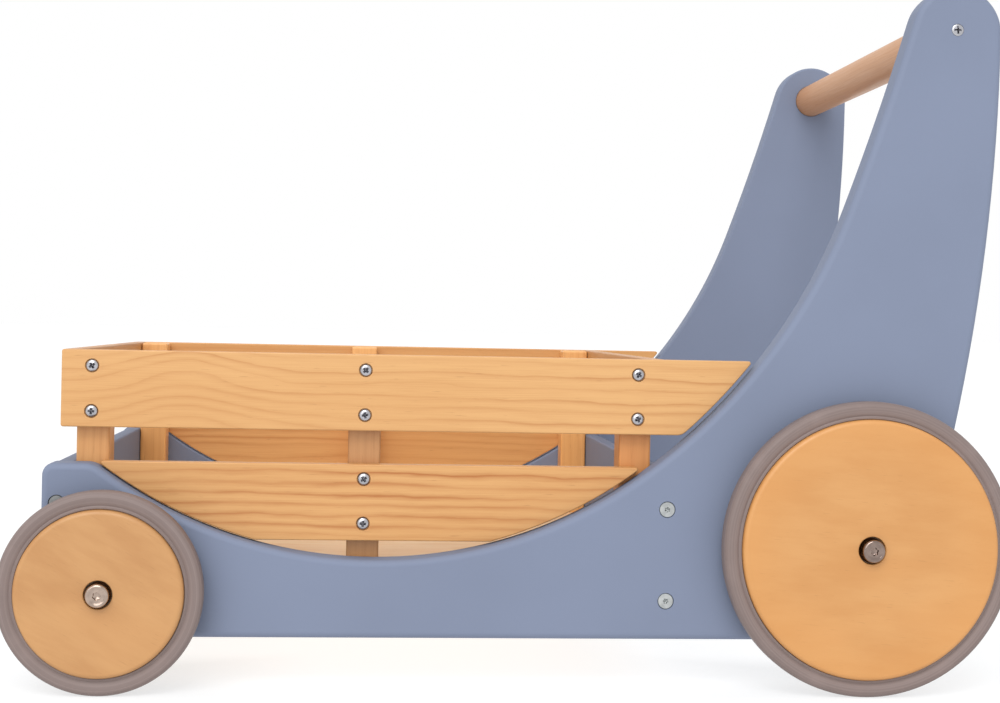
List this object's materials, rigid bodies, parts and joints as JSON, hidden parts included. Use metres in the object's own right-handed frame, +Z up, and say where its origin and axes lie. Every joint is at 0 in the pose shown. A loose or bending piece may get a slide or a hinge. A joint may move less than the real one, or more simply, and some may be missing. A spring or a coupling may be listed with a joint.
{
  "type": "baby push walker",
  "caption": "Wooden push walker: painted side panels with a dipped outline carry a slatted crate, a round handle bar and rubber-tyred wooden wheels that turn on fixed axles.",
  "frame": {"origin": "on the floor, below the middle of the walker's length and width", "axes": "+X towards the handle and the pushing child, +Y to that child's right, +Z up"},
  "size_m": [0.614, 0.3934, 0.4408],
  "materials": {
    "blue_paint": "satin blue-grey paint on wood, edges rounded over",
    "pine": "clear satin lacquer on light orange pine",
    "beech": "clear satin lacquer on beech",
    "plywood": "clear lacquer on pale plywood",
    "wheel_wood": "clear satin lacquer on warm plywood",
    "rubber": "matt taupe rubber",
    "nickel": "polished nickel plate",
    "zinc": "pale zinc plate",
    "steel": "bright steel",
    "nylon": "off-white nylon"
  },
  "bodies": {
    "chassis": {"left_side_panel": "blue_paint", "right_side_panel": "blue_paint", "front_cross_board": "blue_paint", "rear_cross_board": "blue_paint", "handle_bar": "beech", "left_handle_screw": "steel", "right_handle_screw": "steel", "front_left_upper_bolt": "zinc", "front_left_lower_bolt": "zinc", "front_right_upper_bolt": "zinc", "front_right_lower_bolt": "zinc", "rear_left_upper_bolt": "zinc", "rear_left_lower_bolt": "zinc", "rear_right_upper_bolt": "zinc", "rear_right_lower_bolt": "zinc", "left_upper_slat": "pine", "left_lower_slat": "pine", "right_upper_slat": "pine", "right_lower_slat": "pine", "front_end_slat": "pine", "rear_end_slat": "pine", "left_front_post": "pine", "left_middle_post": "pine", "left_rear_post": "pine", "right_front_post": "pine", "right_middle_post": "pine", "right_rear_post": "pine", "floor_board": "plywood", "front_axle": "steel", "rear_axle": "steel", "front_left_spacer": "nylon", "front_right_spacer": "nylon", "rear_left_spacer": "nylon", "rear_right_spacer": "nylon", "front_left_axle_cap": "nickel", "front_right_axle_cap": "nickel", "rear_left_axle_cap": "nickel", "rear_right_axle_cap": "nickel"},
    "front_left_wheel": {"front_left_wheel_disc": "wheel_wood", "front_left_tyre": "rubber"},
    "front_right_wheel": {"front_right_wheel_disc": "wheel_wood", "front_right_tyre": "rubber"},
    "rear_left_wheel": {"rear_left_wheel_disc": "wheel_wood", "rear_left_tyre": "rubber"},
    "rear_right_wheel": {"rear_right_wheel_disc": "wheel_wood", "rear_right_tyre": "rubber"}
  },
  "joints": [
    {"name": "front_left_wheel_spin", "type": "hinge", "parent": "chassis", "child": "front_left_wheel", "pos_m": [-0.24655, -0.183, 0.0605], "axis": [0, 1, 0], "continuous": true},
    {"name": "front_right_wheel_spin", "type": "hinge", "parent": "chassis", "child": "front_right_wheel", "pos_m": [-0.24655, 0.183, 0.0605], "axis": [0, 1, 0], "continuous": true},
    {"name": "rear_left_wheel_spin", "type": "hinge", "parent": "chassis", "child": "rear_left_wheel", "pos_m": [0.21665, -0.183, 0.0904], "axis": [0, 1, 0], "continuous": true},
    {"name": "rear_right_wheel_spin", "type": "hinge", "parent": "chassis", "child": "rear_right_wheel", "pos_m": [0.21665, 0.183, 0.0904], "axis": [0, 1, 0], "continuous": true}
  ]
}
